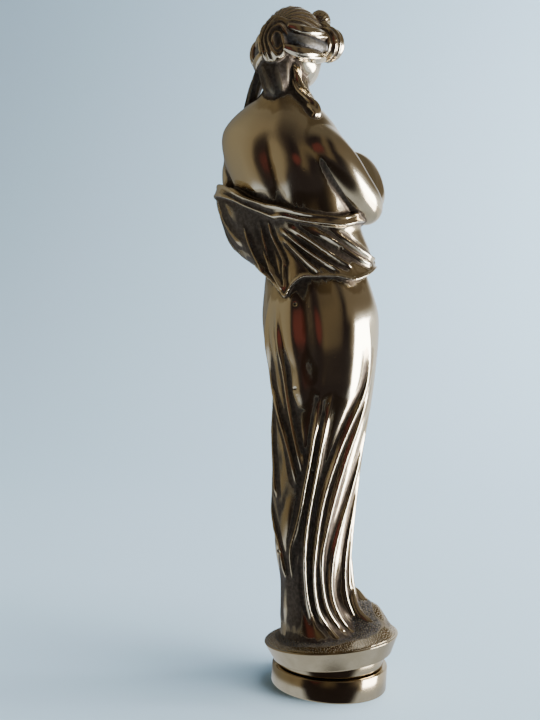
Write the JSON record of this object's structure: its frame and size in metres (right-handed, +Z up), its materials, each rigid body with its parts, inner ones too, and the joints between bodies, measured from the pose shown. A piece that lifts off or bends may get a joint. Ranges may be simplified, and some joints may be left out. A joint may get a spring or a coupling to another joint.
{
  "type": "bronze female figure",
  "caption": "Small polished bronze statuette of a draped standing woman with her head bowed, cast on a stippled mound with a turned rim over a turned foot disc.",
  "frame": {"origin": "middle of the foot disc's flat underside, which stands on the table", "axes": "+Z up, the woman's breast faces -Y and her right arm is on the -X side"},
  "size_m": [0.0484, 0.0322, 0.1554],
  "materials": {
    "bronze": "cast yellow bronze, polished bright on the raised parts, dark brown patina left in the folds, hair and stippled ground",
    "turned_bronze": "turned yellow bronze, polished, with fine scratches and a dark joint line"
  },
  "bodies": {
    "root": {"cast_figure": "bronze", "foot_disc": "turned_bronze"}
  },
  "joints": []
}
